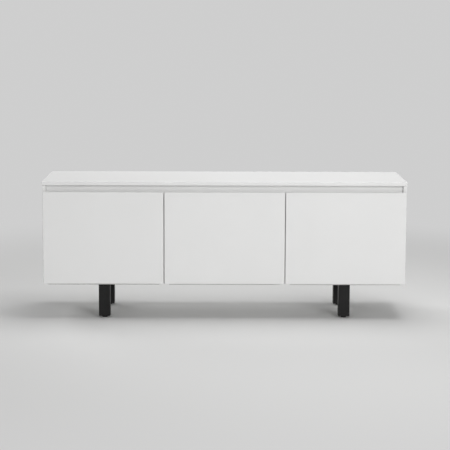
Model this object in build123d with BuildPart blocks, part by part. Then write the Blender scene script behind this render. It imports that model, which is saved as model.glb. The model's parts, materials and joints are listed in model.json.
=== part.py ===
from build123d import *
from math import asin, atan2, cos, degrees, radians, sin, sqrt
import os

# Television stand with three drop-down doors, in millimetres.
# X runs across the stand, the front faces -Y, Z is up, the floor is at Z = 0.

# Overall size
width = 1600.0
depth = 450.0
height = 612.0

# Boards, and the bevel along their edges
board = 16.0
top_board = 16.0
door_board = 18.0
back_sheet = 3.0
board_bevel = 1.0
top_bevel = 1.5
door_bevel = 1.5

# Doors and the finger recess above them
door_names = ("left", "middle", "right")
door_gap = 3.5
side_reveal = 2.5
door_lift = 2.0
door_back_gap = 2.0
top_overhang = 5.0
grip_height = 30.0
grip_setback = 12.0
grip_edge = 8.0
grip_slope = 14.0
rail_height = 70.0

# Underframe
carcass_lift = 157.0
leg_size = 50.0
leg_wall = 2.0
leg_corner = 3.0
leg_end_inset = 268.0
leg_front_setback = 44.0
leg_rear_setback = 84.0
plate_size = 80.0
plate_thick = 3.0
plate_corner = 6.0
plate_screw_pitch = 64.0
cap_flange = 4.0
cap_plug = 22.0
cap_wall = 2.5
cap_boss_radius = 8.0
foot_height = 8.0
foot_radius = 12.0
foot_rim = 4.5
foot_bevel = 1.0
foot_shoulder = 2.5
stem_radius = 4.0
stem_length = 32.0

# Back sheet seat and cable cut-outs
back_inset = 13.0
groove_depth = 7.0
sheet_entry = 6.0
cable_slot_long = 100.0
cable_slot_high = 42.0
cable_slot_up = 60.0

# Shelves
shelf_top_up = 216.0
shelf_front_back = 26.0
shelf_back_gap = 24.0
shelf_end_gap = 1.0
pin_radius = 2.5
pin_head_radius = 4.0
pin_head_length = 9.0
pin_shank = 7.0
pin_row_inset = 60.0
pin_pitch = 32.0
pin_steps = (-1, 0, 1)

# Continuous hinge
leaf_thick = 0.8
leaf_high = 14.0
leaf_margin = 20.0
knuckle_radius = 2.0
knuckle_count = 13
knuckle_gap = 0.4
hinge_pin_radius = 1.0
hinge_screws = 5
leaf_screw_up = 1.0

# Brake stays
door_opening = 90.0
stay_radius = 185.0
stay_lean = 30.0
stay_rod_in = 16.0
rod_radius = 3.0
stop_radius = 5.5
stop_long = 6.0
eye_radius = 6.0
eye_wide = 6.0
eye_pin_radius = 2.5
bracket_reach = 14.0
bracket_plate = 2.5
bracket_high = 40.0
bracket_wide = 20.0
bracket_corner = 3.0
button_radius = 4.0
button_thick = 1.5
ear_wide = 3.5
base_radius = 13.0
base_thick = 3.0
boss_radius = 4.0
boss_long = 11.0
guide_long = 34.0
guide_high = 18.0
guide_wide = 19.0
guide_bevel = 2.0
stay_screw_pitch = 17.0
bracket_screw_pitch = 28.0

# Magnet catches and bumpers
catch_wide = 46.0
catch_high = 14.0
catch_up = 12.0
catch_gap = 0.6
catch_wing = 2.0
strike_radius = 9.0
strike_thick = 1.0
catch_screw_pitch = 34.0
bumper_radius = 2.4
bumper_thick = 1.7
bumper_inset = 4.0
bumper_down = 20.0

# Knock-down fittings
cam_radius = 7.5
cam_sides = 16
cam_deep = 12.5
cam_reach = 24.0
cam_key_long = 10.5
cam_key_wide = 1.5
cam_key_deep = 2.0
bolt_thread_radius = 2.5
bolt_thread = 10.0
bolt_radius = 3.2
bolt_neck_radius = 2.0
bolt_head = 5.0
bolt_sides = 8
dowel_radius = 4.0
dowel_short = 9.0
dowel_long = 20.0
fitting_inset = 75.0

# Wood screws
screw_radius = 1.4
screw_head_radius = 2.4
screw_long = 13.0
screw_sides = 8

# Clearances
run_fit = 0.05
hole_fit = 0.1
easy_fit = 0.25
seat_gap = 0.1

# Levels and planes that follow from the sizes above
x_out = width / 2
x_in = x_out - board
y_front = -depth / 2
y_back = depth / 2
y_door_front = y_front + top_overhang
y_door_back = y_door_front + door_board
y_carcass = y_door_back + door_back_gap
y_sheet = y_back - back_inset - back_sheet
y_rail = y_carcass + grip_setback
z_top = height - top_board
z_floor = carcass_lift + board
z_door = carcass_lift + door_lift
z_door_top = z_top - grip_height
z_rail = z_top - rail_height
pin_rows = (y_carcass + pin_row_inset, y_sheet - pin_row_inset)
fitting_rows = (y_carcass + fitting_inset, y_sheet - fitting_inset)
dowel_row = (y_carcass + y_sheet) / 2
z_shelf = z_floor + shelf_top_up
z_pin = z_shelf - board - pin_radius
door_width = (width - 2 * side_reveal - (len(door_names) - 1) * door_gap) / len(door_names)
door_pitch = door_width + door_gap
door_mid = {name: (index - 1) * door_pitch for index, name in enumerate(door_names)}
partition_mid = {"left": -door_pitch / 2, "right": door_pitch / 2}
bays = {
    "left": (-x_in, partition_mid["left"] - board / 2),
    "middle": (partition_mid["left"] + board / 2, partition_mid["right"] - board / 2),
    "right": (partition_mid["right"] + board / 2, x_in),
}
y_leg_front = y_carcass + leg_front_setback
y_leg_rear = y_back - leg_rear_setback
leg_x = x_out - leg_end_inset
legs = {
    "front_left": (-leg_x, y_leg_front),
    "front_right": (leg_x, y_leg_front),
    "rear_left": (-leg_x, y_leg_rear),
    "rear_right": (leg_x, y_leg_rear),
}

# Door hinge axis, in Y and Z, and the two stay pivots at one radius from it.
# Equal radii make the rod turn at exactly half the door's rate.
hinge_y = (y_door_back + y_carcass) / 2
hinge_z = carcass_lift - knuckle_radius - easy_fit
eye_y = y_door_back + bracket_reach
eye_z = hinge_z + sqrt(stay_radius**2 - (eye_y - hinge_y) ** 2)
guide_y = hinge_y + stay_radius * sin(radians(stay_lean))
guide_z = hinge_z + stay_radius * cos(radians(stay_lean))

# Inner faces that carry a stay, with the direction into the bay
stay_faces = {name: ((bays[name][0], 1), (bays[name][1], -1)) for name in door_names}


def middle(span):
    return (span[0] + span[1]) / 2


def length(span):
    return span[1] - span[0]


def save(piece, label):
    """Name the finished piece and write its file."""
    piece.part.label = label
    export_step(piece.part, f"parts/{label}.step")


def plain_board(x, y, z, bevel):
    """A board that fills the three spans, with every edge bevelled."""
    with BuildPart() as piece:
        with BuildSketch(Plane.XY.offset(z[0])):
            with Locations((middle(x), middle(y))):
                Rectangle(length(x), length(y))
        extrude(amount=length(z))
        chamfer(piece.edges(), bevel)
    return piece.part


def facing(x, y, z, normal):
    """A plane at a point whose normal points out of the face there."""
    return Plane(origin=(x, y, z), z_dir=normal)


def wood_screw(fit):
    """A countersunk wood screw, head face at the origin, pointing down. With a fit, its seat."""
    head_deep = screw_head_radius - screw_radius
    with BuildPart() as screw:
        with BuildSketch(Plane.XY):
            RegularPolygon(screw_head_radius + fit, screw_sides)
        with BuildSketch(Plane.XY.offset(-head_deep)):
            RegularPolygon(screw_radius + fit, screw_sides)
        loft()
        with BuildSketch(Plane.XY.offset(-head_deep)):
            RegularPolygon(screw_radius + fit, screw_sides)
        extrude(amount=head_deep - screw_long - fit)
    return screw.part


def put_screws(planes):
    """Wood screws at the given planes, for use inside a part."""
    with Locations(*planes):
        add(screw_form)


def screw_seats(planes):
    """Seats for wood screws at the given planes, through a fitting and into the board behind it."""
    with Locations(*planes):
        add(seat_form, mode=Mode.SUBTRACT)


def cam_seats(frames):
    """Cam pockets and bolt bores in the board that holds the cams."""
    for frame in frames:
        with Locations(Plane(origin=frame.origin, x_dir=frame.x_dir, z_dir=-frame.z_dir)):
            Hole(bolt_radius + easy_fit, cam_reach)
        pocket = frame.origin + frame.z_dir * cam_reach + frame.x_dir * (board / 2)
        with Locations(Plane(origin=pocket, z_dir=frame.x_dir)):
            Hole(cam_radius + hole_fit, cam_deep)


def bolt_seats(frames):
    """Bolt holes in the board that the cam bolts screw into."""
    with Locations(*frames):
        Hole(bolt_thread_radius + hole_fit, bolt_thread + hole_fit)


def dowel_seats(frames, deep):
    """Dowel holes on one side of a joint."""
    with Locations(*frames):
        Hole(dowel_radius + hole_fit, deep + hole_fit)


def flipped(frames):
    return [Plane(origin=f.origin, x_dir=f.x_dir, z_dir=-f.z_dir) for f in frames]


def base_planes(face, inward, level):
    """The two screw planes of a stay base, side by side if level, else one above the other."""
    half = stay_screw_pitch / 2
    spots = [(-half, 0), (half, 0)] if level else [(0, -half), (0, half)]
    return [facing(face + inward * base_thick, guide_y + y, guide_z + z, (inward, 0, 0)) for y, z in spots]


def bracket_planes(face, inward):
    """The two screw planes of a stay bracket on the door's back."""
    x = face + inward * stay_rod_in
    return [
        facing(x, y_door_back + bracket_plate, eye_z + side * bracket_screw_pitch / 2, (0, 1, 0))
        for side in (-1, 1)
    ]


os.makedirs("parts", exist_ok=True)
screw_form = wood_screw(0)
seat_form = wood_screw(hole_fit)

# Joint frames: origin on the joint face, Z into the board with the cam, X to the cam's face
down = (0, 0, -1)
up = (0, 0, 1)
top_side = {
    s: [Plane((s * (x_out - board / 2), y, z_top), (-s, 0, 0), down) for y in fitting_rows] for s in (-1, 1)
}
to_middle = {"left": (1, 0, 0), "right": (-1, 0, 0)}
top_partition = {
    name: [Plane((x, y, z_top), to_middle[name], down) for y in fitting_rows]
    for name, x in partition_mid.items()
}
floor_partition = {
    name: [Plane((x, y, z_floor), to_middle[name], up) for y in fitting_rows]
    for name, x in partition_mid.items()
}
floor_mid = carcass_lift + board / 2
floor_side = {s: [Plane((s * x_in, y, floor_mid), down, (-s, 0, 0)) for y in fitting_rows] for s in (-1, 1)}
rail_mid = (y_rail + board / 2, z_top - rail_height / 2)
rail_side = {s: [Plane((s * x_in, *rail_mid), (0, 1, 0), (-s, 0, 0))] for s in (-1, 1)}
cam_frames = [
    frame
    for group in (top_side, top_partition, floor_partition, floor_side, rail_side)
    for frames in group.values()
    for frame in frames
]


def at_row(frames, y):
    """The joint frame moved along the joint to the dowel's place."""
    first = frames[0]
    return [Plane((first.origin.X, y, first.origin.Z), first.x_dir, first.z_dir)]


dowel_top_side = {s: at_row(top_side[s], dowel_row) for s in (-1, 1)}
dowel_top_partition = {name: at_row(top_partition[name], dowel_row) for name in partition_mid}
dowel_floor_partition = {name: at_row(floor_partition[name], dowel_row) for name in partition_mid}
dowel_floor_side = {s: at_row(floor_side[s], dowel_row) for s in (-1, 1)}
dowel_frames = [
    frame
    for group in (dowel_top_side, dowel_top_partition, dowel_floor_partition, dowel_floor_side)
    for frames in group.values()
    for frame in frames
]

# Screw planes, each normal pointing out of the screwed face
hinge_length = door_width - 2 * leaf_margin
leaf_low = hinge_z + knuckle_radius + easy_fit
leaf_top = leaf_low + leaf_high
leaf_mid = middle((leaf_low, leaf_top)) + leaf_screw_up
leaf_screw_x = [(i - (hinge_screws - 1) / 2) * hinge_length / hinge_screws for i in range(hinge_screws)]
frame_leaf_screws = {
    name: [facing(door_mid[name] + x, y_carcass - leaf_thick, leaf_mid, (0, -1, 0)) for x in leaf_screw_x]
    for name in door_names
}
door_leaf_screws = {
    name: [facing(door_mid[name] + x, y_door_back + leaf_thick, leaf_mid, (0, 1, 0)) for x in leaf_screw_x]
    for name in door_names
}
base_screws = {
    name: [p for face, inward in stay_faces[name] for p in base_planes(face, inward, name == "middle")]
    for name in door_names
}
bracket_screws = {
    name: [p for face, inward in stay_faces[name] for p in bracket_planes(face, inward)]
    for name in door_names
}
catch_z = z_rail + catch_up
catch_depth = y_rail - (y_door_back + strike_thick + catch_gap)
catch_screws = {
    name: [
        facing(door_mid[name] + side * catch_screw_pitch / 2, y_rail - catch_wing, catch_z, (0, -1, 0))
        for side in (-1, 1)
    ]
    for name in door_names
}
strike_screws = {
    name: [facing(door_mid[name], y_door_back + strike_thick, catch_z, (0, 1, 0))] for name in door_names
}


def leg_screws_at(spot):
    """The four screw planes of the leg plate at a spot."""
    half = plate_screw_pitch / 2
    return [
        facing(spot[0] + i * half, spot[1] + j * half, carcass_lift - plate_thick, down)
        for i in (-1, 1)
        for j in (-1, 1)
    ]


# Top panel with its groove for the back sheet
sheet_x = (-x_in - sheet_entry, x_in + sheet_entry)
with BuildPart() as top_panel:
    add(plain_board((-x_out, x_out), (y_front, y_back), (z_top, height), top_bevel))
    with BuildSketch(Plane.XY.offset(z_top)):
        with Locations((0, y_sheet + back_sheet / 2)):
            Rectangle(length(sheet_x) + 2 * seat_gap, back_sheet + 2 * seat_gap)
    extrude(amount=groove_depth, mode=Mode.SUBTRACT)
    for s in (-1, 1):
        bolt_seats(top_side[s])
        dowel_seats(dowel_top_side[s], dowel_short)
    for name in partition_mid:
        bolt_seats(top_partition[name])
        dowel_seats(dowel_top_partition[name], dowel_short)
save(top_panel, "top_panel")

# Side panels
for label, s in (("side_panel_left", -1), ("side_panel_right", 1)):
    bay = "left" if s < 0 else "right"
    face = s * x_in
    with BuildPart() as side_panel:
        add(
            plain_board(
                tuple(sorted((s * x_in, s * x_out))), (y_carcass, y_back), (carcass_lift, z_top), board_bevel
            )
        )
        with BuildSketch(Plane.YZ.offset(face)):
            with Locations((y_sheet + back_sheet / 2, middle((z_floor, z_top)))):
                Rectangle(back_sheet + 2 * seat_gap, z_top - z_floor + 2 * sheet_entry + 2 * seat_gap)
        extrude(amount=s * groove_depth, mode=Mode.SUBTRACT)
        cam_seats(top_side[s])
        bolt_seats(floor_side[s])
        bolt_seats(rail_side[s])
        dowel_seats(flipped(dowel_top_side[s]), dowel_long)
        dowel_seats(dowel_floor_side[s], dowel_short)
        screw_seats([p for p in base_screws[bay] if abs(p.origin.X - face) < board])
        with Locations(
            *[
                facing(face, y, z_pin + step * pin_pitch, (-s, 0, 0))
                for y in pin_rows
                for step in pin_steps
            ]
        ):
            Hole(pin_radius + hole_fit, pin_shank + easy_fit)
    save(side_panel, label)

# Bottom panel
with BuildPart() as bottom_panel:
    add(plain_board((-x_in, x_in), (y_carcass, y_back), (carcass_lift, z_floor), board_bevel))
    with BuildSketch(Plane.XY.offset(z_floor)):
        with Locations((0, y_sheet + back_sheet / 2)):
            Rectangle(2 * x_in, back_sheet + 2 * seat_gap)
    extrude(amount=-groove_depth, mode=Mode.SUBTRACT)
    for s in (-1, 1):
        cam_seats(floor_side[s])
        dowel_seats(flipped(dowel_floor_side[s]), dowel_long)
    for name in partition_mid:
        bolt_seats(floor_partition[name])
        dowel_seats(dowel_floor_partition[name], dowel_short)
    for name in door_names:
        screw_seats(frame_leaf_screws[name])
    for spot in legs.values():
        screw_seats(leg_screws_at(spot))
save(bottom_panel, "bottom_panel")

# Partitions behind the door gaps, notched at the top for the grip rail
for side, x in partition_mid.items():
    faces = {x - board / 2: -1, x + board / 2: 1}
    with BuildPart() as partition:
        with BuildSketch(Plane.YZ.offset(x - board / 2)):
            with BuildLine():
                Polyline(
                    (y_carcass, z_floor),
                    (y_sheet - seat_gap, z_floor),
                    (y_sheet - seat_gap, z_top),
                    (y_rail + board, z_top),
                    (y_rail + board, z_rail),
                    (y_carcass, z_rail),
                    close=True,
                )
            make_face()
        extrude(amount=board)
        chamfer(partition.edges().filter_by(Axis.Z).sort_by(Axis.Y)[:2], board_bevel)
        cam_seats(top_partition[side])
        cam_seats(floor_partition[side])
        dowel_seats(flipped(dowel_top_partition[side]), dowel_long)
        dowel_seats(flipped(dowel_floor_partition[side]), dowel_long)
        for face, outward in faces.items():
            with Locations(
                *[
                    facing(face, y, z_pin + step * pin_pitch, (outward, 0, 0))
                    for y in pin_rows
                    for step in pin_steps
                ]
            ):
                Hole(pin_radius + hole_fit, pin_shank + easy_fit)
            for planes in base_screws.values():
                near = [p for p in planes if abs(p.origin.X - outward * base_thick - face) < seat_gap]
                if near:
                    screw_seats(near)
    save(partition, f"partition_{side}")

# Grip rail, the strip behind the finger recess
with BuildPart() as grip_rail:
    add(plain_board((-x_in, x_in), (y_rail, y_rail + board), (z_rail, z_top), board_bevel))
    for s in (-1, 1):
        cam_seats(rail_side[s])
    for name in door_names:
        screw_seats(catch_screws[name])
save(grip_rail, "grip_rail")

# Back sheet with one cable cut-out per bay
sheet_z = (z_floor - sheet_entry, z_top + sheet_entry)
with BuildPart() as back_panel:
    with BuildSketch(Plane.XZ.offset(-y_sheet)):
        with Locations((middle(sheet_x), middle(sheet_z))):
            Rectangle(length(sheet_x), length(sheet_z))
        with Locations(*[(middle(bays[name]), z_floor + cable_slot_up) for name in door_names]):
            SlotOverall(cable_slot_long, cable_slot_high, mode=Mode.SUBTRACT)
    extrude(amount=-back_sheet)
save(back_panel, "back_panel")

# Shelves
for name in door_names:
    with BuildPart() as shelf:
        add(
            plain_board(
                (bays[name][0] + shelf_end_gap, bays[name][1] - shelf_end_gap),
                (y_carcass + shelf_front_back, y_sheet - shelf_back_gap),
                (z_shelf - board, z_shelf),
                board_bevel,
            )
        )
    save(shelf, f"shelf_{name}")

# Shelf pins, each with a flat on its head for the shelf
with BuildPart() as shelf_pins:
    for name in door_names:
        for face, inward in stay_faces[name]:
            for y in pin_rows:
                with BuildSketch(Plane.YZ.offset(face)):
                    with Locations((y, z_pin)):
                        Circle(pin_head_radius)
                    with Locations((y, z_pin + pin_radius + pin_head_radius)):
                        Rectangle(2 * pin_head_radius, 2 * pin_head_radius, mode=Mode.SUBTRACT)
                extrude(amount=inward * pin_head_length)
                with BuildSketch(Plane.YZ.offset(face)):
                    with Locations((y, z_pin)):
                        Circle(pin_radius)
                extrude(amount=-inward * pin_shank)
save(shelf_pins, "shelf_pins")

# Cam locks: a narrow slot takes the bolt's neck, a wider pocket its head, and a cross the driver
cam_cuts = (
    (-cam_radius, 0, bolt_neck_radius + easy_fit),
    (-bolt_head / 2 - easy_fit, bolt_head / 2 + easy_fit, bolt_radius + easy_fit),
)
with BuildPart() as cam_form:
    with BuildSketch(Plane.XY):
        RegularPolygon(cam_radius, cam_sides)
    extrude(amount=-(cam_deep - hole_fit))
    for start, end, half in cam_cuts:
        with BuildSketch(Plane.YZ.offset(start)):
            with Locations((0, -board / 2)):
                Rectangle(2 * half, 2 * half)
        extrude(amount=end - start, mode=Mode.SUBTRACT)
    with BuildSketch(Plane.XY):
        Rectangle(cam_key_long, cam_key_wide)
        Rectangle(cam_key_wide, cam_key_long)
    extrude(amount=-cam_key_deep, mode=Mode.SUBTRACT)
with BuildPart() as cam_locks:
    for frame in cam_frames:
        seat = frame.origin + frame.z_dir * cam_reach + frame.x_dir * (board / 2)
        with Locations(Plane(origin=seat, x_dir=frame.z_dir, z_dir=frame.x_dir)):
            add(cam_form.part)
save(cam_locks, "cam_locks")

# Cam bolts: thread, collar, neck and head, each a radius with its start and end
bolt_stages = (
    (bolt_thread_radius, -bolt_thread, 0),
    (bolt_radius, 0, cam_reach - cam_radius),
    (bolt_neck_radius, cam_reach - cam_radius, cam_reach - bolt_head / 2),
    (bolt_radius, cam_reach - bolt_head / 2, cam_reach + bolt_head / 2),
)
with BuildPart() as bolt_form:
    for radius, start, end in bolt_stages:
        with BuildSketch(Plane.XY.offset(start)):
            RegularPolygon(radius, bolt_sides)
        extrude(amount=end - start)
with BuildPart() as cam_bolts:
    with Locations(*cam_frames):
        add(bolt_form.part)
save(cam_bolts, "cam_bolts")

# Wooden dowels
with BuildPart() as wooden_dowels:
    for frame in dowel_frames:
        with BuildSketch(Plane(frame.origin - frame.z_dir * dowel_short, frame.x_dir, frame.z_dir)):
            Circle(dowel_radius)
        extrude(amount=dowel_short + dowel_long)
save(wooden_dowels, "wooden_dowels")

# Legs: square tube welded to a top plate
z_cap = foot_height + cap_flange
z_plate = carcass_lift - plate_thick
tube_inner = leg_size - 2 * leg_wall
for place, spot in legs.items():
    with BuildPart() as leg:
        with BuildSketch(Plane.XY.offset(z_cap)):
            with Locations(spot):
                RectangleRounded(leg_size, leg_size, leg_corner)
                RectangleRounded(tube_inner, tube_inner, leg_corner - leg_wall, mode=Mode.SUBTRACT)
        extrude(amount=z_plate - z_cap)
        with BuildSketch(Plane.XY.offset(z_plate)):
            with Locations(spot):
                RectangleRounded(plate_size, plate_size, plate_corner)
        extrude(amount=plate_thick)
        screw_seats(leg_screws_at(spot))
    save(leg, f"leg_{place}")

# Plastic end caps in the tubes, with a boss for the levelling foot
plug = tube_inner - 2 * hole_fit
with BuildPart() as leg_end_caps:
    for spot in legs.values():
        with BuildSketch(Plane.XY.offset(foot_height)):
            with Locations(spot):
                RectangleRounded(leg_size, leg_size, leg_corner)
                Circle(stem_radius + run_fit, mode=Mode.SUBTRACT)
        extrude(amount=cap_flange)
        with BuildSketch(Plane.XY.offset(z_cap)):
            with Locations(spot):
                RectangleRounded(plug, plug, leg_corner - leg_wall)
                Rectangle(plug - 2 * cap_wall, plug - 2 * cap_wall, mode=Mode.SUBTRACT)
                Circle(cap_boss_radius)
                Rectangle(plug - cap_wall, cap_wall)
                Rectangle(cap_wall, plug - cap_wall)
                Circle(stem_radius + run_fit, mode=Mode.SUBTRACT)
        extrude(amount=cap_plug)
save(leg_end_caps, "leg_end_caps")

# Screws of the leg plates
with BuildPart() as leg_screws:
    for spot in legs.values():
        put_screws(leg_screws_at(spot))
save(leg_screws, "leg_screws")

# Levelling feet
for place, spot in legs.items():
    with BuildPart() as foot:
        with BuildSketch(Plane(origin=(spot[0], spot[1], 0), x_dir=(1, 0, 0), z_dir=(0, -1, 0))):
            with BuildLine():
                Polyline(
                    (0, 0),
                    (foot_radius - foot_bevel, 0),
                    (foot_radius, foot_bevel),
                    (foot_radius, foot_rim),
                    (foot_radius - foot_shoulder, foot_height - easy_fit),
                    (stem_radius, foot_height - easy_fit),
                    (stem_radius, foot_height + stem_length),
                    (0, foot_height + stem_length),
                    close=True,
                )
            make_face()
        revolve(axis=Axis((spot[0], spot[1], 0), (0, 0, 1)))
    save(foot, f"levelling_foot_{place}")

# Continuous hinges: the two leaves share one row of knuckles in turn
knuckle_pitch = hinge_length / knuckle_count


def hinge_leaf(x_mid, y_outer, first, screws):
    """A hinge leaf whose knuckles are every second one, from number `first`."""
    with BuildPart() as leaf:
        x_start = x_mid - hinge_length / 2 + knuckle_gap / 2
        starts = [x_start + i * knuckle_pitch for i in range(first, knuckle_count, 2)]
        tube_length = knuckle_pitch - knuckle_gap
        tab = (hinge_z + knuckle_radius / 2, leaf_low + knuckle_radius / 2)
        with BuildSketch(Plane.XZ.offset(-y_outer)):
            with Locations((x_mid, middle((leaf_low, leaf_top)))):
                Rectangle(hinge_length, leaf_high)
            with Locations(*[(x + tube_length / 2, middle(tab)) for x in starts]):
                Rectangle(tube_length, length(tab))
        extrude(amount=leaf_thick)
        for x in starts:
            with BuildSketch(Plane.YZ.offset(x)):
                with Locations((hinge_y, hinge_z)):
                    Circle(knuckle_radius)
            extrude(amount=tube_length)
        with BuildSketch(Plane.YZ.offset(x_mid - hinge_length / 2)):
            with Locations((hinge_y, hinge_z)):
                Circle(hinge_pin_radius + run_fit)
        extrude(amount=hinge_length, mode=Mode.SUBTRACT)
        screw_seats(screws)
    return leaf.part


with BuildPart() as hinge_frame_leaves:
    for name in door_names:
        add(hinge_leaf(door_mid[name], y_carcass, 0, frame_leaf_screws[name]))
save(hinge_frame_leaves, "hinge_frame_leaves")

with BuildPart() as hinge_pins:
    for name in door_names:
        with BuildSketch(Plane.YZ.offset(door_mid[name] - hinge_length / 2)):
            with Locations((hinge_y, hinge_z)):
                Circle(hinge_pin_radius)
        extrude(amount=hinge_length)
save(hinge_pins, "hinge_pins")

# Stay bases on the bay walls
with BuildPart() as stay_bases:
    for name in door_names:
        for face, inward in stay_faces[name]:
            with BuildSketch(Plane.YZ.offset(face)):
                with Locations((guide_y, guide_z)):
                    Circle(base_radius)
            extrude(amount=inward * base_thick)
            with BuildSketch(Plane.YZ.offset(face)):
                with Locations((guide_y, guide_z)):
                    Circle(boss_radius)
            extrude(amount=inward * boss_long)
        screw_seats(base_screws[name])
save(stay_bases, "stay_bases")

# Magnet catches under the grip rail's lower edge
with BuildPart() as magnet_catches:
    for name in door_names:
        with BuildSketch(Plane.XY.offset(catch_z - catch_high / 2)):
            with Locations((door_mid[name], y_rail - catch_wing / 2)):
                Rectangle(catch_wide, catch_wing)
            with Locations((door_mid[name], y_rail - catch_depth / 2)):
                Rectangle(catch_wide / 2, catch_depth)
        extrude(amount=catch_high)
        screw_seats(catch_screws[name])
save(magnet_catches, "magnet_catches")

# Screws that go into the cabinet: hinge leaves, stay bases and catches
with BuildPart() as frame_screws:
    for name in door_names:
        put_screws(frame_leaf_screws[name] + base_screws[name] + catch_screws[name])
save(frame_screws, "frame_screws")

# Stay rods, from the eye on the door to the stop at the free end
rod_turn = degrees(atan2(guide_z - eye_z, guide_y - eye_y))
swing = stay_lean - degrees(asin((eye_y - hinge_y) / stay_radius)) + door_opening
open_reach = 2 * stay_radius * sin(radians(swing / 2))
stop_at = open_reach + guide_long / 2 + easy_fit
rod_dir = (0, cos(radians(rod_turn)), sin(radians(rod_turn)))

# Guides that swivel on the stay bases and brake the rods
guide_span = (base_thick + easy_fit, base_thick + easy_fit + guide_wide)


def stay_rod(x):
    """One rod with its eye and its stop, at rest with the door shut."""
    with BuildPart() as rod:
        along = Plane(origin=(x, eye_y, eye_z), x_dir=(1, 0, 0), z_dir=rod_dir)
        with BuildSketch(along):
            Circle(rod_radius)
        extrude(amount=stop_at + stop_long)
        with BuildSketch(along.offset(stop_at)):
            Circle(stop_radius)
        extrude(amount=stop_long)
        with BuildSketch(Plane.YZ.offset(x - eye_wide / 2)):
            with Locations((eye_y, eye_z)):
                Circle(eye_radius)
        extrude(amount=eye_wide)
        with BuildSketch(Plane.YZ.offset(x - eye_wide / 2)):
            with Locations((eye_y, eye_z)):
                Circle(eye_pin_radius + run_fit)
        extrude(amount=eye_wide, mode=Mode.SUBTRACT)
    return rod.part


def stay_guide(face, inward):
    """One guide block with its boss hole and the bore for the rod."""
    with BuildPart() as guide:
        with BuildSketch(Plane.YZ.offset(face + inward * guide_span[0])):
            with Locations((guide_y, guide_z)):
                SlotOverall(guide_long, guide_high, rotation=rod_turn)
        extrude(amount=inward * guide_wide)
        chamfer(guide.faces().sort_by(Axis.X)[-1 if inward > 0 else 0].edges(), guide_bevel)
        with BuildSketch(Plane.YZ.offset(face)):
            with Locations((guide_y, guide_z)):
                Circle(boss_radius + run_fit)
        extrude(amount=inward * (boss_long + easy_fit), mode=Mode.SUBTRACT)
        bore = Vector(face + inward * stay_rod_in, guide_y, guide_z) - Vector(rod_dir) * guide_long
        with BuildSketch(Plane(origin=bore, x_dir=(1, 0, 0), z_dir=rod_dir)):
            Circle(rod_radius + hole_fit)
        extrude(amount=2 * guide_long, mode=Mode.SUBTRACT)
    return guide.part


def stay_bracket(face, inward):
    """One door bracket: a plate, an ear beside the rod's eye and the pin."""
    with BuildPart() as bracket:
        x_rod = face + inward * stay_rod_in
        with BuildSketch(Plane.XZ.offset(-y_door_back)):
            with Locations((x_rod, eye_z)):
                RectangleRounded(bracket_wide, bracket_high, bracket_corner)
        extrude(amount=-bracket_plate)
        ear_start = stay_rod_in - eye_wide / 2 - easy_fit - ear_wide
        with BuildSketch(Plane.YZ.offset(face + inward * ear_start)):
            with Locations((eye_y, eye_z)):
                Circle(eye_radius)
            with Locations((middle((y_door_back, eye_y)), eye_z)):
                Rectangle(bracket_reach, 2 * eye_radius)
        extrude(amount=inward * ear_wide)
        with BuildSketch(Plane.YZ.offset(face + inward * ear_start)):
            with Locations((eye_y, eye_z)):
                Circle(eye_pin_radius)
        extrude(amount=inward * (ear_wide + eye_wide + 2 * easy_fit))
        with BuildSketch(Plane.YZ.offset(face + inward * (stay_rod_in + eye_wide / 2 + easy_fit))):
            with Locations((eye_y, eye_z)):
                Circle(button_radius)
        extrude(amount=inward * button_thick)
        screw_seats(bracket_planes(face, inward))
    return bracket.part


# Doors, sloped behind their top edge for the fingers, and everything that rides on them
for name in door_names:
    edges = (door_mid[name] - door_width / 2, door_mid[name] + door_width / 2)
    with BuildPart() as door:
        with BuildSketch(Plane.YZ.offset(edges[0])):
            with BuildLine():
                Polyline(
                    (y_door_front, z_door),
                    (y_door_back, z_door),
                    (y_door_back, z_door_top - grip_slope),
                    (y_door_front + grip_edge, z_door_top),
                    (y_door_front, z_door_top),
                    close=True,
                )
            make_face()
        extrude(amount=door_width)
        chamfer(door.edges(), door_bevel)
        screw_seats(door_leaf_screws[name])
        screw_seats(bracket_screws[name])
        screw_seats(strike_screws[name])
    save(door, f"door_{name}")

    with BuildPart() as hinge_door_leaf:
        add(hinge_leaf(door_mid[name], y_door_back + leaf_thick, 1, door_leaf_screws[name]))
    save(hinge_door_leaf, f"hinge_door_leaf_{name}")

    with BuildPart() as stay_brackets:
        for face, inward in stay_faces[name]:
            add(stay_bracket(face, inward))
    save(stay_brackets, f"stay_brackets_{name}")

    with BuildPart() as strike_plate:
        with BuildSketch(Plane.XZ.offset(-y_door_back)):
            with Locations((door_mid[name], catch_z)):
                Circle(strike_radius)
        extrude(amount=-strike_thick)
        screw_seats(strike_screws[name])
    save(strike_plate, f"strike_plate_{name}")

    with BuildPart() as door_screws:
        put_screws(door_leaf_screws[name] + bracket_screws[name] + strike_screws[name])
    save(door_screws, f"door_screws_{name}")

    with BuildPart() as door_bumpers:
        with BuildSketch(Plane.XZ.offset(-y_door_back)):
            with Locations(
                (edges[0] + bumper_inset, z_door_top - bumper_down),
                (edges[1] - bumper_inset, z_door_top - bumper_down),
            ):
                Circle(bumper_radius)
        extrude(amount=-bumper_thick)
    save(door_bumpers, f"door_bumpers_{name}")

    with BuildPart() as stay_rods:
        for face, inward in stay_faces[name]:
            add(stay_rod(face + inward * stay_rod_in))
    save(stay_rods, f"stay_rods_{name}")

    with BuildPart() as stay_guides:
        for face, inward in stay_faces[name]:
            add(stay_guide(face, inward))
    save(stay_guides, f"stay_guides_{name}")
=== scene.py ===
import json
import math

import bmesh
import bpy
from mathutils import Matrix, Vector


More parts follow.
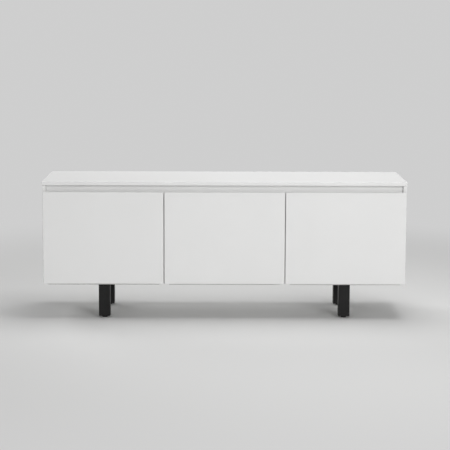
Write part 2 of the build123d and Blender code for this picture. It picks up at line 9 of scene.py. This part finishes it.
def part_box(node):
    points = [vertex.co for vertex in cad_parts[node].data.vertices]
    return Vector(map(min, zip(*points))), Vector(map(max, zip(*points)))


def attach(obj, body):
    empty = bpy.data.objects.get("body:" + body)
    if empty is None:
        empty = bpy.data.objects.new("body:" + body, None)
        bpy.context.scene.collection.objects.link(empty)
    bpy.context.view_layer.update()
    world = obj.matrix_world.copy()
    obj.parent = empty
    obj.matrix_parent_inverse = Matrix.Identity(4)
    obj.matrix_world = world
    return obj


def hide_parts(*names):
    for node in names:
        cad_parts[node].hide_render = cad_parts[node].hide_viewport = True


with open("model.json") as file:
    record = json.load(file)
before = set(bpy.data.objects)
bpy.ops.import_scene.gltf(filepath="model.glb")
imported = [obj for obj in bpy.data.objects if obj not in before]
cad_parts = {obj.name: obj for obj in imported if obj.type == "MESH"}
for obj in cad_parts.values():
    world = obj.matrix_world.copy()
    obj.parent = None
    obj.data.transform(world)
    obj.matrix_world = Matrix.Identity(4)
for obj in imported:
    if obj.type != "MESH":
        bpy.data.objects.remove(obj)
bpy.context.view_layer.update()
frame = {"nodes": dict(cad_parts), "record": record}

# A white television stand with three drop-down doors on black steel legs, in metres.

# Camera: place, downward pitch, turn about the vertical, roll, and lens on a 36 mm sensor
CAMERA_PLACE = (-0.0459, -6.950, 1.3511)
CAMERA_PITCH = 0.13718
CAMERA_TURN = -0.00705
CAMERA_ROLL = 0.00354
CAMERA_LENS = 123.94
SENSOR = 36.0

# Stage and light
BACKGROUND = (0.62, 0.62, 0.62)
AMBIENT = 0.18
FLOOR_COLOUR = (0.80, 0.80, 0.795)
FLOOR_HALF = 30.0
FADE_START = 1.4
FADE_END = 3.2
LIGHT_TARGET = Vector((0.1, 0.0, 0.35))
LIGHTS = {
    "key": {"place": (2.6, -5.4, 1.75), "size": (2.4, 1.6), "watts": 140.0},
    "fill": {"place": (-2.6, -5.6, 1.7), "size": (2.6, 1.6), "watts": 51.0},
    "top": {"place": (0.6, 0.2, 3.4), "size": (3.4, 1.8), "watts": 66.0},
    "back": {"place": (-3.6, 3.6, 3.2), "size": (2.4, 1.6), "watts": 58.0},
}

# Shading: sides that meet below this angle look smooth, in degrees
SMOOTH_BELOW = 35.0

# Procedural noise: how fast its detail fades, and the middle range that nearly all of it lies in
NOISE_ROUGHNESS = 0.55
NOISE_LOW = 0.3
NOISE_HIGH = 0.7

# Points of a node that agree to this many digits are one corner
CORNER_DIGITS = 6

# Screws: the cross recess and its share at the floor, the head's rim bevel, the point and its tip's share
RECESS_ARM = 0.0014
RECESS_HALF = 0.00036
RECESS_DEEP = 0.0009
RECESS_DRAFT = 0.7
RIM_BEVEL = 0.00012
POINT_LONG = 0.003
TIP_SHARE = 1 / 8

# Levelling feet: the pad's levels and radii as the frame has them, and the bevel of its rim
FOOT_RIM_TOP = 0.0045
FOOT_SHOULDER = 0.0095
FOOT_TOP = 0.00775
FOOT_BEVEL = 0.001
FOOT_POINTS = 120

# Ribs round the pad's rim: the level where they are whole, and their share at its lower and upper bevel
FOOT_RIBS = 30
RIB_DEEP = 0.0004
RIB_START = 0.0016
RIB_LOWER_SHARE = 0.4
RIB_UPPER_SHARE = 0.3

# The foot's stem and the thread on it
STEM_RADIUS = 0.004
THREAD_PITCH = 0.00125
THREAD_DEEP = 0.0006
THREAD_STEPS = 6
THREAD_POINTS = 24

# Weld bead between a leg tube and its plate: leg length, hollow of its face, ripples and their pitch
BEAD_LEG = 0.003
BEAD_HOLLOW = 0.9
BEAD_RIPPLE = 0.10
BEAD_PITCH = 0.0026
BEAD_STEPS = 4
BEAD_ARC = 4
BEAD_SMOOTH_BELOW = 60.0
LEG_CORNER = 0.003
PLATE_THICK = 0.003

# Magnet catches: the steel pole plates that stand out of the plastic
POLE_THICK = 0.0016
POLE_SPREAD = 0.0045
POLE_HIGH = 0.010
POLE_PROUD = 0.0003
POLE_BEVEL = 0.0002
POLE_BEVEL_STEPS = 2

# Soft door bumpers: the upright share of their height, and how full the dome above it is
BUMPER_POINTS = 32
BUMPER_RINGS = 6
BUMPER_SIDE = 0.35
BUMPER_FULLNESS = 0.6

# Brake adjusters on the stay guides: a head that stands out of the guide, and its slot with the power
# that rounds the slot's corners
ADJUSTER_RADIUS = 0.0045
ADJUSTER_PROUD = 0.0012
ADJUSTER_SUNK = 0.0003
ADJUSTER_BEVEL = 0.0003
ADJUSTER_POINTS = 32
SLOT_ARM = 0.0036
SLOT_HALF = 0.0008
SLOT_DEEP = 0.0008
SLOT_CORNER = 0.3


# Node trees

def add(tree, kind, values=(), links=()):
    """A new shader node with these input values and these incoming links."""
    made = tree.nodes.new("ShaderNode" + kind)
    for name, value in dict(values).items():
        made.inputs[name].default_value = value
    for name, source in dict(links).items():
        tree.links.new(source, made.inputs[name])
    return made


def stretched(tree, scale):
    """Coordinates in the part's own frame, in metres, times a scale along each axis."""
    place = add(tree, "TexCoord").outputs["Object"]
    return add(tree, "Mapping", {"Scale": scale}, {"Vector": place}).outputs["Vector"]


def noise(tree, scale, detail=2.0, stretch=(1, 1, 1)):
    values = {"Scale": scale, "Detail": detail, "Roughness": NOISE_ROUGHNESS}
    return add(tree, "TexNoise", values, {"Vector": stretched(tree, stretch)}).outputs["Fac"]


def remap(tree, source, low, high):
    """The source's middle range spread over low to high."""
    values = {"From Min": NOISE_LOW, "From Max": NOISE_HIGH, "To Min": low, "To Max": high}
    return add(tree, "MapRange", values, {"Value": source}).outputs["Result"]


def blend_colours(tree, source, first, second):
    mix = tree.nodes.new("ShaderNodeMix")
    mix.data_type = "RGBA"
    colours = [socket for socket in mix.inputs if socket.type == "RGBA"]
    for socket, colour in zip(colours, (first, second)):
        socket.default_value = (*colour, 1.0)
    tree.links.new(source, mix.inputs["Factor"])
    return next(socket for socket in mix.outputs if socket.type == "RGBA")


def bump(tree, height, strength, distance):
    values = {"Strength": strength, "Distance": distance}
    return add(tree, "Bump", values, {"Height": height}).outputs["Normal"]


def surface(name, colours, rough, tone, grain, relief, **uniform):
    """A finish: two near colours mixed by `tone`, and a roughness range over `grain`, which also gives
    the relief, with a strength and a height in metres."""
    material = bpy.data.materials.new(name)
    material.use_nodes = True
    tree = material.node_tree
    shader = tree.nodes["Principled BSDF"]
    for socket, value in uniform.items():
        shader.inputs[socket.replace("_", " ")].default_value = value
    tones = remap(tree, noise(tree, **tone), 0.0, 1.0)
    tree.links.new(blend_colours(tree, tones, *colours), shader.inputs["Base Color"])
    fine = noise(tree, **grain)
    tree.links.new(remap(tree, fine, *rough), shader.inputs["Roughness"])
    tree.links.new(bump(tree, fine, *relief), shader.inputs["Normal"])
    return material


# Finishes, one for each material slot of the part

def white_lacquer():
    """Matt lacquer with faint orange peel."""
    return surface(
        "white_lacquer",
        colours=((0.815, 0.815, 0.81), (0.795, 0.795, 0.79)),
        rough=(0.56, 0.68),
        tone={"scale": 2.5},
        grain={"scale": 520.0, "detail": 3.0},
        relief=(0.18, 0.00006),
        Specular_IOR_Level=0.45,
    )


def white_board():
    """Melamine facing with a fine pearl texture."""
    return surface(
        "white_board",
        colours=((0.80, 0.80, 0.79), (0.775, 0.775, 0.765)),
        rough=(0.46, 0.60),
        tone={"scale": 5.0},
        grain={"scale": 900.0, "detail": 4.0},
        relief=(0.30, 0.0001),
    )


def white_sheet():
    """Painted hardboard, whose fibres lie lengthways."""
    return surface(
        "white_sheet",
        colours=((0.78, 0.78, 0.765), (0.745, 0.745, 0.73)),
        rough=(0.52, 0.68),
        tone={"scale": 8.0, "detail": 4.0},
        grain={"scale": 260.0, "detail": 5.0, "stretch": (0.35, 1.0, 1.0)},
        relief=(0.30, 0.00012),
    )


def black_steel():
    """Satin powder coat with its fine pebbled skin."""
    return surface(
        "black_steel",
        colours=((0.0075, 0.0075, 0.0075), (0.0105, 0.0105, 0.0105)),
        rough=(0.40, 0.52),
        tone={"scale": 40.0, "detail": 3.0},
        grain={"scale": 1100.0, "detail": 2.0},
        relief=(0.35, 0.00012),
        Specular_IOR_Level=0.2,
    )


def black_plastic():
    """Moulded plastic with a spark-eroded texture."""
    return surface(
        "black_plastic",
        colours=((0.008, 0.008, 0.008), (0.011, 0.011, 0.011)),
        rough=(0.48, 0.62),
        tone={"scale": 90.0},
        grain={"scale": 1600.0, "detail": 3.0},
        relief=(0.35, 0.00012),
        Specular_IOR_Level=0.25,
    )


def hinge_steel():
    """Nickel plate over rolled strip, drawn along its length."""
    return surface(
        "hinge_steel",
        colours=((0.62, 0.615, 0.60), (0.69, 0.685, 0.67)),
        rough=(0.30, 0.46),
        tone={"scale": 30.0, "stretch": (0.2, 1.0, 1.0)},
        grain={"scale": 900.0, "detail": 3.0, "stretch": (0.03, 1.0, 1.0)},
        relief=(0.15, 0.00005),
        Metallic=1.0,
    )


def screw_steel():
    """Zinc plate with faint mottling."""
    return surface(
        "screw_steel",
        colours=((0.58, 0.58, 0.57), (0.66, 0.66, 0.65)),
        rough=(0.22, 0.36),
        tone={"scale": 700.0},
        grain={"scale": 2600.0},
        relief=(0.12, 0.00003),
        Metallic=1.0,
    )


def zinc():
    """Die-cast zinc, grainy and dull."""
    return surface(
        "zinc",
        colours=((0.44, 0.44, 0.44), (0.53, 0.53, 0.54)),
        rough=(0.36, 0.52),
        tone={"scale": 220.0, "detail": 4.0},
        grain={"scale": 1500.0, "detail": 3.0},
        relief=(0.30, 0.0001),
        Metallic=1.0,
    )


def rod_chrome():
    """Ground and chromed rod."""
    return surface(
        "rod_chrome",
        colours=((0.72, 0.72, 0.73), (0.78, 0.78, 0.79)),
        rough=(0.10, 0.20),
        tone={"scale": 60.0},
        grain={"scale": 1800.0, "detail": 2.0, "stretch": (1.0, 1.0, 0.2)},
        relief=(0.08, 0.00003),
        Metallic=1.0,
    )


def grey_plastic():
    """Moulded grey nylon."""
    return surface(
        "grey_plastic",
        colours=((0.27, 0.275, 0.28), (0.31, 0.315, 0.32)),
        rough=(0.42, 0.56),
        tone={"scale": 70.0, "detail": 3.0},
        grain={"scale": 1400.0, "detail": 3.0},
        relief=(0.28, 0.0001),
    )


def catch_plastic():
    """Moulded white plastic."""
    return surface(
        "catch_plastic",
        colours=((0.78, 0.78, 0.765), (0.75, 0.75, 0.735)),
        rough=(0.34, 0.46),
        tone={"scale": 50.0},
        grain={"scale": 1200.0, "detail": 3.0},
        relief=(0.22, 0.00008),
    )


def strike_steel():
    """Stamped and nickel plated, with a fine mottle."""
    return surface(
        "strike_steel",
        colours=((0.56, 0.55, 0.54), (0.64, 0.63, 0.61)),
        rough=(0.26, 0.42),
        tone={"scale": 260.0, "detail": 3.0},
        grain={"scale": 1500.0, "detail": 3.0},
        relief=(0.15, 0.00005),
        Metallic=1.0,
    )


def dowel_wood():
    """Beech, with its short grain drawn out along the dowel."""
    return surface(
        "dowel_wood",
        colours=((0.58, 0.41, 0.24), (0.68, 0.52, 0.33)),
        rough=(0.55, 0.72),
        tone={"scale": 300.0, "detail": 4.0, "stretch": (1.0, 1.0, 0.12)},
        grain={"scale": 700.0, "detail": 4.0, "stretch": (1.0, 1.0, 0.08)},
        relief=(0.35, 0.00015),
    )


def bumper_rubber():
    """Clear soft pad."""
    return surface(
        "bumper_rubber",
        colours=((0.80, 0.80, 0.79), (0.86, 0.86, 0.85)),
        rough=(0.24, 0.36),
        tone={"scale": 400.0},
        grain={"scale": 1500.0},
        relief=(0.10, 0.00005),
        Transmission_Weight=0.45,
        IOR=1.45,
    )


FINISHES = {
    make.__name__: make()
    for make in (
        white_lacquer,
        white_board,
        white_sheet,
        black_steel,
        black_plastic,
        hinge_steel,
        screw_steel,
        zinc,
        rod_chrome,
        grey_plastic,
        catch_plastic,
        strike_steel,
        dowel_wood,
        bumper_rubber,
    )
}


def dress(obj, slot_name):
    obj.data.materials.clear()
    obj.data.materials.append(FINISHES[slot_name])


slot_of = {row["node"]: row["material_slot"] for row in frame["record"]["subparts"]}
for node_name, node_object in frame["nodes"].items():
    dress(node_object, slot_of[node_name])


# Mesh pieces

def cap(mesh, row):
    """A flat end: triangles from the middle of a ring of corners to its edge."""
    middle = mesh.verts.new(sum((corner.co for corner in row), Vector()) / len(row))
    for first, second in zip(row, row[1:] + row[:1]):
        mesh.faces.new((first, second, middle))


def skin(mesh, rings, wrap=False):
    """Faces between each ring of points and the next. The ends are capped, or joined if wrapped."""
    rows = [[mesh.verts.new(point) for point in ring] for ring in rings]
    pairs = list(zip(rows, rows[1:]))
    if wrap:
        pairs.append((rows[-1], rows[0]))
    else:
        cap(mesh, rows[0][::-1])
        cap(mesh, rows[-1])
    for first, second in pairs:
        count = len(first)
        for i in range(count):
            j = (i + 1) % count
            mesh.faces.new((first[i], first[j], second[j], second[i]))


def piece(name, mesh, body, slot_name, stands_for=(), smooth_below=SMOOTH_BELOW):
    """Turn the mesh into an object that rides on a body and takes a slot's finish."""
    bmesh.ops.recalc_face_normals(mesh, faces=mesh.faces)
    data = bpy.data.meshes.new(name)
    mesh.to_mesh(data)
    mesh.free()
    data.polygons.foreach_set("use_smooth", [True] * len(data.polygons))
    data.set_sharp_from_angle(angle=math.radians(smooth_below))
    obj = bpy.data.objects.new(name, data)
    bpy.context.scene.collection.objects.link(obj)
    dress(obj, slot_name)
    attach(obj, body)
    if stands_for:
        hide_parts(*stands_for)
    return obj


def solids(node_name):
    """The corner points of each separate solid in a node."""
    data = frame["nodes"][node_name].data
    keys = [tuple(round(c, CORNER_DIGITS) for c in vertex.co) for vertex in data.vertices]
    parent = {key: key for key in keys}

    def root(key):
        while parent[key] != key:
            parent[key] = parent[parent[key]]
            key = parent[key]
        return key

    for face in data.polygons:
        first = root(keys[face.vertices[0]])
        for index in face.vertices[1:]:
            parent[root(keys[index])] = first
    groups = {}
    for key in parent:
        groups.setdefault(root(key), []).append(Vector(key))
    return list(groups.values())


def spans(points):
    """The lowest and highest corner of some points."""
    low = Vector(min(point[i] for point in points) for i in range(3))
    high = Vector(max(point[i] for point in points) for i in range(3))
    return low, high


def circle(radius, level, count):
    turns = [2 * math.pi * i / count for i in range(count)]
    return [Vector((radius * math.cos(a), radius * math.sin(a), level)) for a in turns]


def frame_along(origin, axis):
    """The matrix that puts local Z along an axis and local zero at the origin."""
    return Matrix.Translation(origin) @ axis.to_track_quat("Z", "Y").to_matrix().to_4x4()


# Screws

def cross(arm, half, level):
    """The outline of a cross recess, six points to a quarter."""
    middle = (arm + half) / 2
    quarter = ((arm, 0), (arm, half), (middle, half), (half, half), (half, middle), (half, arm))
    points = []
    for turn in range(4):
        spin = Matrix.Rotation(turn * math.pi / 2, 2)
        points += [(*(spin @ Vector(corner)), level) for corner in quarter]
    return [Vector(point) for point in points]


def screw_rings(head, shank, long):
    """Rings from the recess floor over the head to the point, head face at zero."""
    outline = cross(RECESS_ARM, RECESS_HALF, 0.0)
    count = len(outline)
    return [
        cross(RECESS_ARM * RECESS_DRAFT, RECESS_HALF * RECESS_DRAFT, -RECESS_DEEP),
        outline,
        circle(head - RIM_BEVEL, 0.0, count),
        circle(head, -RIM_BEVEL, count),
        circle(shank, shank - head - RIM_BEVEL, count),
        circle(shank, POINT_LONG - long, count),
        circle(shank * TIP_SHARE, -long, count),
    ]


def head_end(points):
    """A screw's head centre, its outward axis, head radius, shank radius and length."""
    low, high = spans(points)
    size = high - low
    long_axis = max(range(3), key=lambda i: size[i])
    axis = Vector((0, 0, 0))
    axis[long_axis] = 1.0
    centre = (low + high) / 2
    reach = {}
    for side in (-1, 1):
        end = centre + side * axis * size[long_axis] / 2
        ring = [p for p in points if abs((p - end).dot(axis)) < RIM_BEVEL]
        reach[side] = max((p - end).length for p in ring)
    out = max(reach, key=reach.get)
    head = centre + out * axis * size[long_axis] / 2
    return head, out * axis, reach[out], reach[-out], size[long_axis]


def screws(node_name, body):
    mesh = bmesh.new()
    for points in solids(node_name):
        place, axis, head, shank, long = head_end(points)
        where = frame_along(place, axis)
        skin(mesh, [[where @ p for p in ring] for ring in screw_rings(head, shank, long)])
    return piece(f"{node_name}_detail", mesh, body, "screw_steel", (node_name,))


screws("frame_screws", "cabinet")
screws("leg_screws", "cabinet")


# Soft bumpers and screws on the doors

def dome(radius, thick):
    """Rings of a low dome, flat side at zero. The last ring stops half a step short of the crown."""
    side = thick * BUMPER_SIDE
    rings = [circle(radius, 0.0, BUMPER_POINTS), circle(radius, side, BUMPER_POINTS)]
    for step in range(1, BUMPER_RINGS + 1):
        angle = math.pi / 2 * step / (BUMPER_RINGS + 0.5)
        level = side + (thick - side) * math.sin(angle)
        rings.append(circle(radius * math.cos(angle) ** BUMPER_FULLNESS, level, BUMPER_POINTS))
    return rings


def bumpers(door):
    node_name = f"door_bumpers_{door}"
    mesh = bmesh.new()
    for points in solids(node_name):
        low, high = spans(points)
        seat = Vector(((low.x + high.x) / 2, low.y, (low.z + high.z) / 2))
        where = frame_along(seat, Vector((0, 1, 0)))
        skin(mesh, [[where @ p for p in ring] for ring in dome((high.x - low.x) / 2, high.y - low.y)])
    return piece(f"{node_name}_domes", mesh, f"door_{door}", "bumper_rubber", (node_name,))


DOORS = ("left", "middle", "right")
for door in DOORS:
    screws(f"door_screws_{door}", f"door_{door}")
    bumpers(door)


# Brake adjusters, one on the inner face of each stay guide

def slot_outline(level):
    """A slot with rounded corners, with as many points as the head's rim."""
    ring = []
    for point in circle(1.0, level, ADJUSTER_POINTS):
        across = math.copysign(abs(point.x) ** SLOT_CORNER, point.x)
        along = math.copysign(abs(point.y) ** SLOT_CORNER, point.y)
        ring.append(Vector((SLOT_ARM * across, SLOT_HALF * along, level)))
    return ring


def adjuster_rings():
    """Rings from the slot's floor over the head into the guide, whose face is at zero."""
    return [
        slot_outline(ADJUSTER_PROUD - SLOT_DEEP),
        slot_outline(ADJUSTER_PROUD),
        circle(ADJUSTER_RADIUS - ADJUSTER_BEVEL, ADJUSTER_PROUD, ADJUSTER_POINTS),
        circle(ADJUSTER_RADIUS, ADJUSTER_PROUD - ADJUSTER_BEVEL, ADJUSTER_POINTS),
        circle(ADJUSTER_RADIUS, -ADJUSTER_SUNK, ADJUSTER_POINTS),
    ]


def brake_adjusters(door):
    node_name = f"stay_guides_{door}"
    boxes = sorted((spans(points) for points in solids(node_name)), key=lambda box: box[0].x)
    mesh = bmesh.new()
    for (low, high), inward in zip(boxes, (1, -1)):
        middle = (low + high) / 2
        face = Vector((high.x if inward > 0 else low.x, middle.y, middle.z))
        where = frame_along(face, Vector((inward, 0, 0)))
        skin(mesh, [[where @ p for p in ring] for ring in adjuster_rings()])
    return piece(f"brake_adjusters_{door}", mesh, node_name, "screw_steel")


for door in DOORS:
    brake_adjusters(door)


# Levelling feet

def foot_profile(rim_radius):
    """Radius, level and share of the ribs for each ring of the foot's pad, with eased corners."""
    ease = FOOT_BEVEL / 3
    return (
        (rim_radius - 2 * FOOT_BEVEL, 0.0, 0.0),
        (rim_radius - ease, ease, 0.0),
        (rim_radius, FOOT_BEVEL, RIB_LOWER_SHARE),
        (rim_radius, RIB_START, 1.0),
        (rim_radius, FOOT_RIM_TOP - FOOT_BEVEL / 2, 1.0),
        (rim_radius - ease, FOOT_RIM_TOP, RIB_UPPER_SHARE),
        (FOOT_SHOULDER, FOOT_TOP - ease, 0.0),
        (FOOT_SHOULDER - ease, FOOT_TOP, 0.0),
    )


def ribbed(radius, level, share):
    """A ring whose radius dips between the ribs by a share of their depth."""
    ring = []
    for point in circle(radius, level, FOOT_POINTS):
        angle = math.atan2(point.y, point.x)
        cut = share * RIB_DEEP * (1 - math.cos(FOOT_RIBS * angle)) / 2
        ring.append(point * ((radius - cut) / radius))
        ring[-1].z = level
    return ring


def threaded(radius, low, high):
    """Rings of a screw thread: a wave of the pitch that climbs with the turn."""
    steps = round((high - low) / THREAD_PITCH * THREAD_STEPS)
    rings = []
    for step in range(steps + 1):
        level = low + (high - low) * step / steps
        ring = []
        for index, point in enumerate(circle(1.0, 0.0, THREAD_POINTS)):
            phase = (level - low) / THREAD_PITCH - index / THREAD_POINTS
            depth = THREAD_DEEP * abs(2 * (phase % 1.0) - 1)
            ring.append(Vector((point.x * (radius - depth), point.y * (radius - depth), level)))
        rings.append(ring)
    return rings


def levelling_foot(place):
    node_name = f"levelling_foot_{place}"
    low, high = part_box(node_name)
    axis = Vector(((low.x + high.x) / 2, (low.y + high.y) / 2, low.z))
    radius = (high.x - low.x) / 2
    mesh = bmesh.new()
    skin(mesh, [[axis + p for p in ribbed(*row)] for row in foot_profile(radius)])
    stem = threaded(STEM_RADIUS, FOOT_TOP - FOOT_BEVEL, high.z - low.z)
    skin(mesh, [[axis + p for p in ring] for ring in stem])
    return piece(f"{node_name}_detail", mesh, node_name, slot_of[node_name], (node_name,))


CORNERS = ("front_left", "front_right", "rear_left", "rear_right")
for corner in CORNERS:
    levelling_foot(corner)


# Weld beads under the leg plates

def tube_path(half, corner):
    """Points and outward directions round a square tube with rounded corners."""
    step = BEAD_PITCH / BEAD_STEPS
    straight = half - corner
    path = []
    for turn in range(4):
        spin = Matrix.Rotation(turn * math.pi / 2, 3, "Z")
        for i in range(round(2 * straight / step)):
            path.append((spin @ Vector((half, -straight + i * step, 0)), spin @ Vector((1, 0, 0))))
        count = round(corner * math.pi / 2 / step)
        for i in range(count):
            angle = math.pi / 2 * i / count
            out = Vector((math.cos(angle), math.sin(angle), 0))
            path.append((spin @ (Vector((straight, straight, 0)) + corner * out), spin @ out))
    return path


def leg_weld(place):
    """A rippled fillet round the tube, which is as wide as its end cap."""
    low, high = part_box(f"leg_{place}")
    cap_low, cap_high = spans(solids("leg_end_caps")[0])
    half = (cap_high.x - cap_low.x) / 2
    centre = Vector(((low.x + high.x) / 2, (low.y + high.y) / 2, high.z - PLATE_THICK))
    rings = []
    for index, (spot, out) in enumerate(tube_path(half, LEG_CORNER)):
        reach = BEAD_LEG * (1 + BEAD_RIPPLE * math.cos(2 * math.pi * index / BEAD_STEPS))
        ring = [centre + spot]
        for step in range(BEAD_ARC + 1):
            angle = math.pi / 2 * step / BEAD_ARC
            across = reach * (1 - BEAD_HOLLOW * math.sin(angle))
            down = reach * (1 - BEAD_HOLLOW * math.cos(angle))
            ring.append(centre + spot + out * across - Vector((0, 0, down)))
        rings.append(ring)
    mesh = bmesh.new()
    skin(mesh, rings, wrap=True)
    return piece(f"leg_weld_{place}", mesh, "cabinet", "black_steel", smooth_below=BEAD_SMOOTH_BELOW)


for corner in CORNERS:
    leg_weld(corner)


# Magnet catches: a pair of steel pole plates at the front of each

def bevelled_box(mesh, low, high, bevel):
    """A box between two corners with its edges bevelled."""
    size = high - low
    place = Matrix.Translation((low + high) / 2) @ Matrix.Diagonal((*size, 1.0))
    made = bmesh.ops.create_cube(mesh, size=1.0, matrix=place)
    edges = {edge for vertex in made["verts"] for edge in vertex.link_edges}
    steps = POLE_BEVEL_STEPS
    bmesh.ops.bevel(mesh, geom=list(edges), offset=bevel, segments=steps, affect="EDGES", profile=0.5)


def catch_poles():
    mesh = bmesh.new()
    for points in solids("magnet_catches"):
        low, high = spans(points)
        middle = (low + high) / 2
        for side in (-1, 1):
            x = middle.x + side * POLE_SPREAD
            bevelled_box(
                mesh,
                Vector((x - POLE_THICK / 2, low.y - POLE_PROUD, middle.z - POLE_HIGH / 2)),
                Vector((x + POLE_THICK / 2, middle.y, middle.z + POLE_HIGH / 2)),
                POLE_BEVEL,
            )
    return piece("catch_pole_plates", mesh, "cabinet", "strike_steel")


catch_poles()


# Camera

def make_camera():
    camera = bpy.data.objects.new("camera", bpy.data.cameras.new("camera"))
    bpy.context.scene.collection.objects.link(camera)
    camera.data.sensor_width = SENSOR
    camera.data.lens = CAMERA_LENS
    turn = Matrix.Rotation(CAMERA_TURN, 4, "Z")
    tilt = Matrix.Rotation(math.pi / 2 - CAMERA_PITCH, 4, "X")
    roll = Matrix.Rotation(CAMERA_ROLL, 4, "Z")
    camera.matrix_world = Matrix.Translation(CAMERA_PLACE) @ turn @ tilt @ roll
    bpy.context.scene.camera = camera


make_camera()


# Stage

def seen_directly(tree):
    """1 for camera, mirror and see-through rays, else 0."""
    path = add(tree, "LightPath")
    total = path.outputs["Is Camera Ray"]
    for name in ("Is Glossy Ray", "Is Transmission Ray"):
        joined = tree.nodes.new("ShaderNodeMath")
        joined.operation = "MAXIMUM"
        tree.links.new(total, joined.inputs[0])
        tree.links.new(path.outputs[name], joined.inputs[1])
        total = joined.outputs["Value"]
    return total


def make_world():
    world = bpy.data.worlds.new("studio")
    bpy.context.scene.world = world
    world.use_nodes = True
    tree = world.node_tree
    ambient = tree.nodes["Background"]
    ambient.inputs["Color"].default_value = (1, 1, 1, 1)
    ambient.inputs["Strength"].default_value = AMBIENT
    backdrop = add(tree, "Background", {"Color": (*BACKGROUND, 1), "Strength": 1.0})
    mix = add(tree, "MixShader", links={"Fac": seen_directly(tree)})
    tree.links.new(ambient.outputs["Background"], mix.inputs[1])
    tree.links.new(backdrop.outputs["Background"], mix.inputs[2])
    tree.links.new(mix.outputs["Shader"], tree.nodes["World Output"].inputs["Surface"])


def floor_finish():
    """Plain pale floor that fades into the background away from the part, and is clear from below."""
    material = bpy.data.materials.new("floor")
    material.use_nodes = True
    tree = material.node_tree
    tree.nodes.remove(tree.nodes["Principled BSDF"])
    matt = add(tree, "BsdfDiffuse", {"Color": (*FLOOR_COLOUR, 1)})
    far = add(tree, "Emission", {"Color": (*BACKGROUND, 1), "Strength": 1.0})
    place = add(tree, "TexCoord").outputs["Object"]
    away = tree.nodes.new("ShaderNodeVectorMath")
    away.operation = "LENGTH"
    tree.links.new(place, away.inputs[0])
    fade = add(
        tree,
        "MapRange",
        {"From Min": FADE_START, "From Max": FADE_END},
        {"Value": away.outputs["Value"]},
    )
    fade.interpolation_type = "SMOOTHSTEP"
    amount = tree.nodes.new("ShaderNodeMath")
    amount.operation = "MULTIPLY"
    tree.links.new(fade.outputs["Result"], amount.inputs[0])
    tree.links.new(seen_directly(tree), amount.inputs[1])
    faded = add(tree, "MixShader", links={"Fac": amount.outputs["Value"]})
    tree.links.new(matt.outputs["BSDF"], faded.inputs[1])
    tree.links.new(far.outputs["Emission"], faded.inputs[2])
    below = add(tree, "NewGeometry").outputs["Backfacing"]
    clear = add(tree, "BsdfTransparent")
    sided = add(tree, "MixShader", links={"Fac": below})
    tree.links.new(faded.outputs["Shader"], sided.inputs[1])
    tree.links.new(clear.outputs["BSDF"], sided.inputs[2])
    tree.links.new(sided.outputs["Shader"], tree.nodes["Material Output"].inputs["Surface"])
    return material


def make_floor():
    data = bpy.data.meshes.new("floor")
    h = FLOOR_HALF
    data.from_pydata([(-h, -h, 0), (h, -h, 0), (h, h, 0), (-h, h, 0)], [], [(0, 1, 2, 3)])
    data.materials.append(floor_finish())
    floor = bpy.data.objects.new("floor", data)
    bpy.context.scene.collection.objects.link(floor)


def make_lights():
    for name, light in LIGHTS.items():
        data = bpy.data.lights.new(name, "AREA")
        data.shape = "RECTANGLE"
        data.size, data.size_y = light["size"]
        data.energy = light["watts"]
        lamp = bpy.data.objects.new(name, data)
        lamp.location = light["place"]
        aim = LIGHT_TARGET - Vector(light["place"])
        lamp.rotation_euler = aim.to_track_quat("-Z", "Y").to_euler()
        bpy.context.scene.collection.objects.link(lamp)


make_world()
make_floor()
make_lights()
bpy.context.scene.view_settings.view_transform = "Standard"
